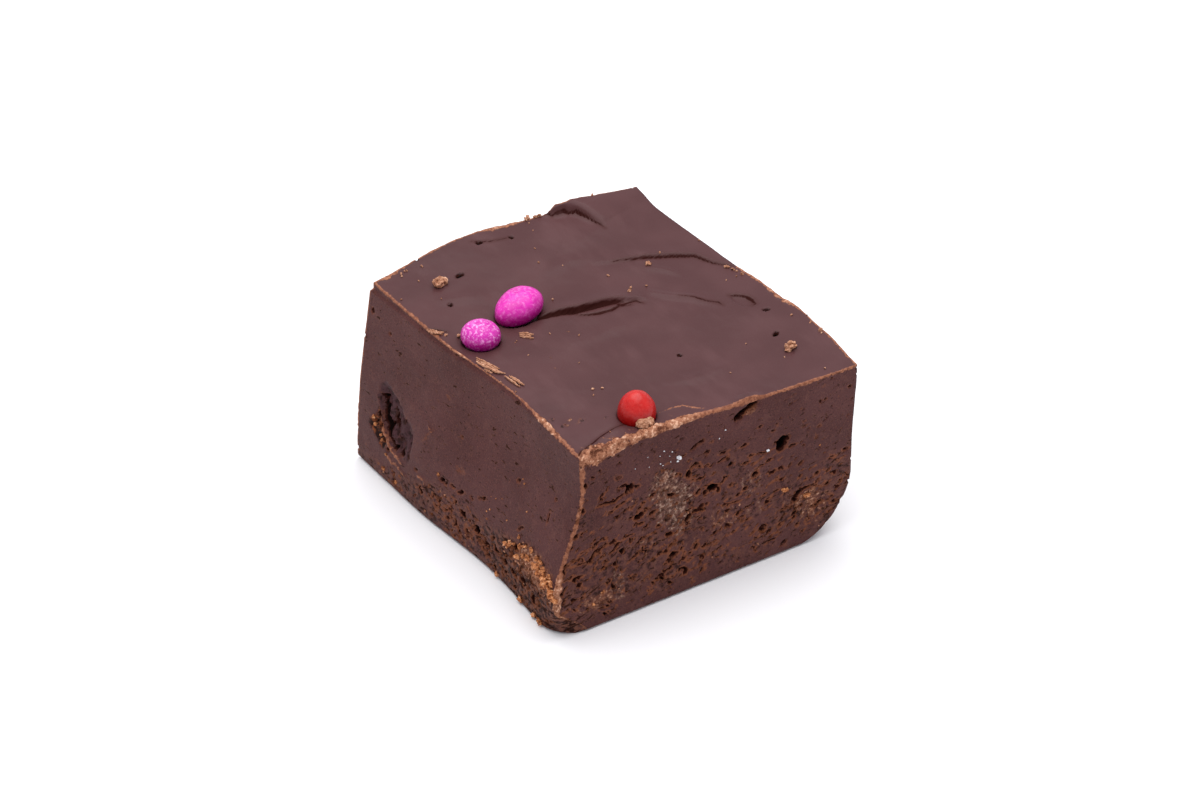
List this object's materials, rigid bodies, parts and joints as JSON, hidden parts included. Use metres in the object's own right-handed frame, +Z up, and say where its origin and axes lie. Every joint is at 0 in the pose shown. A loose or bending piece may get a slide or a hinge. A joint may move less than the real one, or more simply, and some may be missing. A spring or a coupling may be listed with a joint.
{
  "type": "chocolate fudge square",
  "caption": "Thick cut square of chocolate fudge with a smooth poured skin, porous knife-cut sides, a round-edged pan side and small sugar-coated beads pressed into the top.",
  "frame": {"origin": "middle of the base, on the surface the piece stands on", "axes": "+Z up through the poured skin; -Y out of the porous cut face; -X out of the smooth cut face; +X out of the pan side, whose bottom edge is round"},
  "size_m": [0.037, 0.0402, 0.0233],
  "materials": {
    "fudge": "satin, like set fudge: a soft sheen on the poured skin and dull cut faces",
    "magenta_sugar": "hard sugar shell, finely mottled",
    "red_sugar": "hard sugar shell, dull"
  },
  "bodies": {
    "root": {"fudge_block": "fudge", "bead_magenta_large": "magenta_sugar", "bead_magenta_small": "magenta_sugar", "bead_red": "red_sugar"}
  },
  "joints": []
}
